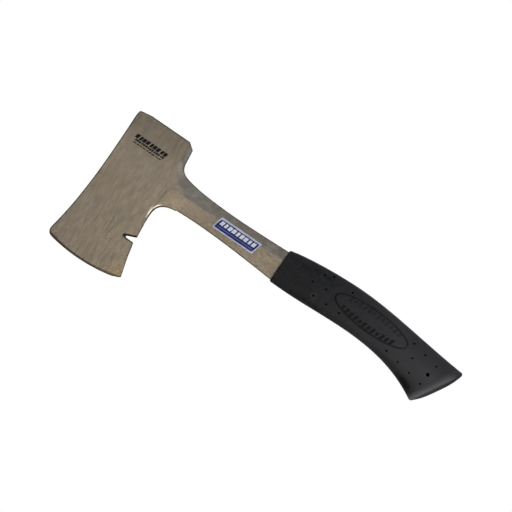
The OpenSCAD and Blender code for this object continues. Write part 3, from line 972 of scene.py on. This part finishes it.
def cushion_grip():
    angles = ring_angles()
    rings = grip_rings(angles)
    shade = mould_relief(rings, angles)
    outer = [i * GRIP_COLUMNS for i in range(len(rings))]
    faces = [face for i, j in zip(outer, outer[1:]) for face in strip(i, j)]
    # the cavity that holds the tang: it starts at the deepest mouth ring and ends in a flat cap
    cavity = [tang_ring(t, 1, angles) for t in TANG_TS] + [tang_ring(TANG_TIP_T, 0.6, angles)]
    base = rings.shape[0] * GRIP_COLUMNS
    inner = [0] + [base + i * GRIP_COLUMNS for i in range(len(cavity))]
    faces += [face for i, j in zip(inner, inner[1:]) for face in strip(j, i)]
    faces.append(tuple(inner[-1] + k for k in range(GRIP_COLUMNS)))
    faces.append(tuple(outer[-1] + k for k in reversed(range(GRIP_COLUMNS))))
    verts = np.concatenate([rings.reshape(-1, 3)] + cavity)
    shade = np.concatenate([shade.ravel(), np.zeros(len(verts) - base)])
    piece = mesh_piece("cushion_grip_rubber", verts, faces, RUBBER, 38, shade=shade)
    cut(piece, pit_cutters())
    return piece


# ---------------------------------------------------------------- label and ink mark
PATCH_GRID, PATCH_STEP = 1.6, 0.8
PATCH_EDGE = 0.04  # width of the eased edge round a patch
FILM_T, INK_T = 0.14, 0.06
LABEL_MID = (-42.3, -96.0)
LABEL_SLOPE = 0.27
LABEL_LEN, LABEL_W, BORDER = 40.6, 11.4, 1.2
LABEL_BARS = 9
MARK_ROWS = (  # x, width, top z, bottom z, number of bars
    (-20.6, 3.6, 22.0, -9.4, 9),
    (-23.9, 1.9, 20.8, -8.6, 14),
    (-26.4, 0.9, 20.6, -7.6, 9),
)
MARK_SLANT = 0.35


def rounded(points, r, steps=5):
    """The polygon with its corners rounded, anticlockwise."""
    pts = [np.array(p, float) for p in points]
    out = []
    for i, p in enumerate(pts):
        a, b = pts[i - 1] - p, pts[(i + 1) % len(pts)] - p
        la, lb = np.linalg.norm(a), np.linalg.norm(b)
        q = min(r, 0.45 * la, 0.45 * lb)
        p0, p2 = p + a / la * q, p + b / lb * q
        for k in range(steps + 1):
            t = k / steps
            out.append((1 - t) ** 2 * p0 + 2 * t * (1 - t) * p + t * t * p2)
    return anticlockwise(np.array(out))


def patches(name, outlines, low, high, material):
    """Thin solids that follow the steel's -Y face between two heights over it."""
    verts, faces = [], []
    for corners, r in outlines:
        loop = refine(rounded(corners, r), PATCH_STEP, 60, 1e9)
        points, tris, depth, rim = fill(loop, (PATCH_EDGE,), PATCH_GRID)
        half = steel_half(points[:, 0], points[:, 1])
        ease = np.clip(PATCH_EDGE - depth, 0, None) * 0.5
        base, n = len(verts), len(points)
        verts += [(p[0], -h - high + e, p[1]) for p, h, e in zip(points, half, ease)]
        verts += [(p[0], -h - low, p[1]) for p, h in zip(points, half)]
        faces += [tuple(i + base for i in f) for f in tris]
        faces += [tuple(i + base + n for i in reversed(f)) for f in tris]
        faces += [(a + base, b + base, b + base + n, a + base + n) for a, b in zip(rim, rim[1:] + rim[:1])]
    return mesh_piece(name, verts, faces, material, 40)


def label_block(u, v, w, length, r):
    """A slanted block of the label, its middle moved by u across and v up the label."""
    corners = []
    for side, end in ((-1, -1), (1, -1), (1, 1), (-1, 1)):
        x = u + side * w / 2
        corners.append((LABEL_MID[0] + x, LABEL_MID[1] + v + end * length / 2 - x * LABEL_SLOPE))
    return corners, r


def label():
    """The label's film, blue panel, white bars and pale line."""
    film_block = label_block(0, 0, LABEL_W, LABEL_LEN, 0.5)
    film = patches("label_film_silver", [film_block], 0, FILM_T, SILVER)
    panel_block = label_block(-0.2, 0, LABEL_W - 2.5 * BORDER, LABEL_LEN - 2 * BORDER, 1.3)
    panel = patches("label_panel_blue", [panel_block], FILM_T, FILM_T + INK_T, BLUE)
    print_low, print_high = FILM_T + INK_T, FILM_T + 2 * INK_T
    print_len = LABEL_LEN - 4 * BORDER
    pitch = print_len / LABEL_BARS
    bars = [
        label_block(1.3, (i - (LABEL_BARS - 1) / 2) * pitch, 3.8, pitch * (0.6 if i % 3 == 1 else 0.8), 0.4)
        for i in range(LABEL_BARS)
    ]
    stripes = patches("label_stripes_white", bars, print_low, print_high, WHITE)
    line_block = label_block(-2.6, 0, 0.6, print_len, 0.25)
    thin = patches("label_line_pale", [line_block], print_low, print_high, PALE_BLUE)
    return film, panel, stripes, thin


def cheek_mark():
    """The ink on the cheek, as three rows of slanted bars."""
    bars = []
    for x, w, top, bottom, count in MARK_ROWS:
        left, right = x - w / 2, x + w / 2
        pitch = (top - bottom) / count
        fall = w * MARK_SLANT
        for i in range(count):
            z0 = bottom + pitch * (i + 0.1)
            z1 = z0 + pitch * (0.66 if i % 3 == 1 else 0.84)
            bars.append(([(left, z0), (right, z0 - fall), (right, z1 - fall), (left, z1)], 0.3))
    return patches("cheek_mark_ink", bars, 0, INK_T, INK)


def place(piece, node):
    """Puts the piece on the body in a CAD node's stead."""
    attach(piece, "root")
    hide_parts(node)


place(forged_body(), "forged_body")
place(cushion_grip(), "cushion_grip")
film, panel, stripes, thin = label()
place(film, "label_film")
place(panel, "label_panel")
place(stripes, "label_stripes")
place(thin, "label_stripes")
place(cheek_mark(), "cheek_mark")


# ---------------------------------------------------------------- studio, in metres
FLOOR_REACH = 4.0
FLOOR_GAP = 0.002
VIEW_MID = Vector((-47.43, 0, -118.95)) * MM
VIEW_WIDTH = 0.43
VIEW_ROLL = math.radians(55.5)
LENS, SENSOR = 600.0, 36.0  # mm
LAMP_AIM = (-0.05, 0.0, -0.12)
BEARD_AIM = (-0.06, 0, -0.03)
LAMPS = (  # name, place, aim, size, power in watts, colour
    ("key", (-0.42, -1.45, -0.35), LAMP_AIM, 0.75, 8.0, (1.0, 0.95, 0.87)),
    ("fill", (0.25, -1.5, 0.1), LAMP_AIM, 0.8, 3.2, (0.8, 0.88, 1.0)),
    ("beard", (-0.30, -0.34, -0.27), BEARD_AIM, 0.08, 0.35, (1.0, 0.95, 0.86)),
    ("side", (1.3, -0.45, 0.1), LAMP_AIM, 0.6, 4, (0.95, 0.97, 1.0)),
    ("back", (0.2, 1.4, 0.1), LAMP_AIM, 1.0, 11, (1.0, 0.98, 0.95)),
)


def world_light(scene):
    """White to the camera; to the object, light from the sides and back and nearly none from the front."""
    world = bpy.data.worlds.new("studio")
    scene.world = world
    world.use_nodes = True
    tree = world.node_tree
    tree.nodes.clear()
    out = tree.nodes.new("ShaderNodeOutputWorld")
    seen = tree.nodes.new("ShaderNodeBackground")
    seen.inputs[0].default_value = (1, 1, 1, 1)
    seen.inputs[1].default_value = 1.0
    ray = tree.nodes.new("ShaderNodeTexCoord")
    split = tree.nodes.new("ShaderNodeSeparateXYZ")
    level = tree.nodes.new("ShaderNodeMapRange")
    level.interpolation_type = "SMOOTHSTEP"
    for socket, value in zip(level.inputs[1:5], (-0.4, 0.2, 0.06, 0.38)):
        socket.default_value = value
    glow = tree.nodes.new("ShaderNodeBackground")
    glow.inputs[0].default_value = (0.96, 0.97, 1.0, 1)
    tree.links.new(ray.outputs["Generated"], split.inputs[0])
    tree.links.new(split.outputs["Y"], level.inputs["Value"])
    tree.links.new(level.outputs[0], glow.inputs[1])
    path = tree.nodes.new("ShaderNodeLightPath")
    mix = tree.nodes.new("ShaderNodeMixShader")
    tree.links.new(path.outputs["Is Camera Ray"], mix.inputs[0])
    tree.links.new(glow.outputs[0], mix.inputs[1])
    tree.links.new(seen.outputs[0], mix.inputs[2])
    tree.links.new(mix.outputs[0], out.inputs[0])


def lamp(scene, name, at, aim, size, power, colour):
    """A round soft lamp that the camera doesn't see."""
    data = bpy.data.lights.new(name, "AREA")
    data.shape = "DISK"
    data.size = size
    data.energy = power
    data.color = colour
    obj = bpy.data.objects.new(name, data)
    scene.collection.objects.link(obj)
    obj.location = at
    obj.rotation_mode = "QUATERNION"
    obj.rotation_quaternion = (Vector(aim) - Vector(at)).to_track_quat("-Z", "Y")
    obj.visible_camera = False


def floor_material():
    """White to the camera, pale to light, and clear from below, so that it never hides the object."""
    m = Nodes("pale_floor")
    glow = m.add("ShaderNodeEmission")
    glow.inputs["Color"].default_value = (1, 1, 1, 1)
    paint = m.add("ShaderNodeBsdfDiffuse")
    paint.inputs["Color"].default_value = (0.9, 0.9, 0.9, 1)
    path = m.add("ShaderNodeLightPath")
    mix = m.add("ShaderNodeMixShader")
    m.put(mix.inputs[0], path.outputs["Is Camera Ray"])
    m.put(mix.inputs[1], paint.outputs[0])
    m.put(mix.inputs[2], glow.outputs[0])
    below = m.add("ShaderNodeNewGeometry").outputs["Backfacing"]
    clear = m.add("ShaderNodeBsdfTransparent")
    choose = m.add("ShaderNodeMixShader")
    m.put(choose.inputs[0], below)
    m.put(choose.inputs[1], mix.outputs[0])
    m.put(choose.inputs[2], clear.outputs[0])
    m.put(m.out.inputs[0], choose.outputs[0])
    return m.material


def pale_floor(scene):
    z = CAD_BOX[0].z - FLOOR_GAP
    corners = [(x * FLOOR_REACH, y * FLOOR_REACH, z) for x, y in ((-1, -1), (1, -1), (1, 1), (-1, 1))]
    mesh = bpy.data.meshes.new("floor")
    mesh.from_pydata(corners, [], [(0, 1, 2, 3)])
    floor = bpy.data.objects.new("floor", mesh)
    scene.collection.objects.link(floor)
    mesh.materials.append(floor_material())


def camera(scene):
    """Square to the labelled side, rolled so that the handle runs down to the right."""
    data = bpy.data.cameras.new("camera")
    data.lens = LENS
    data.sensor_width = SENSOR
    data.clip_start = 0.05
    data.clip_end = 30
    cam = bpy.data.objects.new("camera", data)
    scene.collection.objects.link(cam)
    right = Vector((math.cos(VIEW_ROLL), 0, -math.sin(VIEW_ROLL)))
    up = Vector((math.sin(VIEW_ROLL), 0, math.cos(VIEW_ROLL)))
    back = Vector((0, -1, 0))
    turn = Matrix((right, up, back)).transposed().to_4x4()
    cam.matrix_world = Matrix.Translation(VIEW_MID + back * (VIEW_WIDTH * LENS / SENSOR)) @ turn
    scene.camera = cam


def studio():
    scene = bpy.context.scene
    scene.view_settings.view_transform = "Standard"
    scene.view_settings.look = "None"
    scene.view_settings.exposure = 0.0
    world_light(scene)
    for settings in LAMPS:
        lamp(scene, *settings)
    pale_floor(scene)
    camera(scene)


studio()
bpy.context.view_layer.update()
